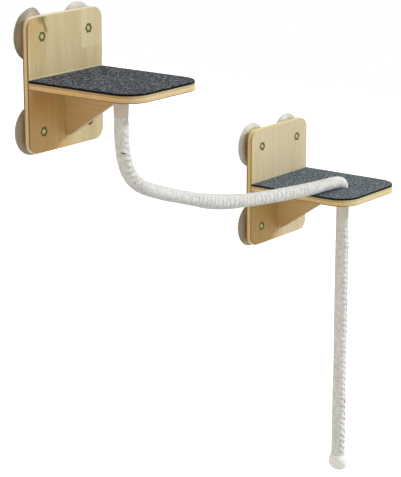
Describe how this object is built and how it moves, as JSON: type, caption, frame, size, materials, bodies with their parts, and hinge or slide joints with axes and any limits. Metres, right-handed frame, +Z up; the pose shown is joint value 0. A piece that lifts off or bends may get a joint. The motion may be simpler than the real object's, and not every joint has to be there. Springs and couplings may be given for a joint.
{
  "type": "cat climbing wall",
  "caption": "Plywood cat steps with felt tops, held on glass by suction cups and linked by a cotton-wound rope that hangs on below the lower step with a ball at its end.",
  "frame": {"origin": "centre of the lip of the upper perch's top left suction cup, on the glass", "axes": "+X along the glass to the lower perch's side, +Y into the glass, square to it, +Z up"},
  "size_m": [0.728, 0.216, 0.8615],
  "materials": {
    "pine_plywood": "sanded pine plywood, clear matt lacquer",
    "grey_felt": "dark grey heather needle felt",
    "cup_vinyl": "soft translucent white vinyl",
    "zinc_steel": "yellow-green passivated zinc",
    "screw_steel": "zinc-plated steel",
    "cotton_cord": "bleached cotton cord wound closely on a core",
    "beige_tape": "smooth beige cloth tape"
  },
  "bodies": {
    "perches": {"upper_back_plate": "pine_plywood", "upper_shelf": "pine_plywood", "upper_gusset": "pine_plywood", "upper_felt_mat": "grey_felt", "upper_cup_studs": "zinc_steel", "upper_hex_nuts": "zinc_steel", "upper_plate_screws": "screw_steel", "upper_gusset_screws": "screw_steel", "upper_cup_top_left": "cup_vinyl", "upper_cup_top_right": "cup_vinyl", "upper_cup_bottom_left": "cup_vinyl", "upper_cup_bottom_right": "cup_vinyl", "lower_back_plate": "pine_plywood", "lower_shelf": "pine_plywood", "lower_gusset": "pine_plywood", "lower_felt_mat": "grey_felt", "lower_cup_studs": "zinc_steel", "lower_hex_nuts": "zinc_steel", "lower_plate_screws": "screw_steel", "lower_gusset_screws": "screw_steel", "lower_cup_top_left": "cup_vinyl", "lower_cup_top_right": "cup_vinyl", "lower_cup_bottom_left": "cup_vinyl", "lower_cup_bottom_right": "cup_vinyl", "rope_anchor_screw": "screw_steel", "upper_rope_sleeve": "beige_tape", "rope_span": "cotton_cord", "lower_rope_sleeve": "beige_tape"},
    "rope_neck_body": {"rope_neck": "cotton_cord"},
    "rope_drop_body": {"rope_drop": "cotton_cord", "rope_end_ball": "cotton_cord"}
  },
  "joints": [
    {"name": "rope_swing_side", "type": "hinge", "parent": "perches", "child": "rope_neck_body", "pos_m": [0.6015, -0.154, -0.393], "axis": [0, 1, 0], "range_deg": [-40, 40]},
    {"name": "rope_swing_front", "type": "hinge", "parent": "rope_neck_body", "child": "rope_drop_body", "pos_m": [0.6015, -0.154, -0.435], "axis": [1, 0, 0], "range_deg": [-40, 20]}
  ]
}
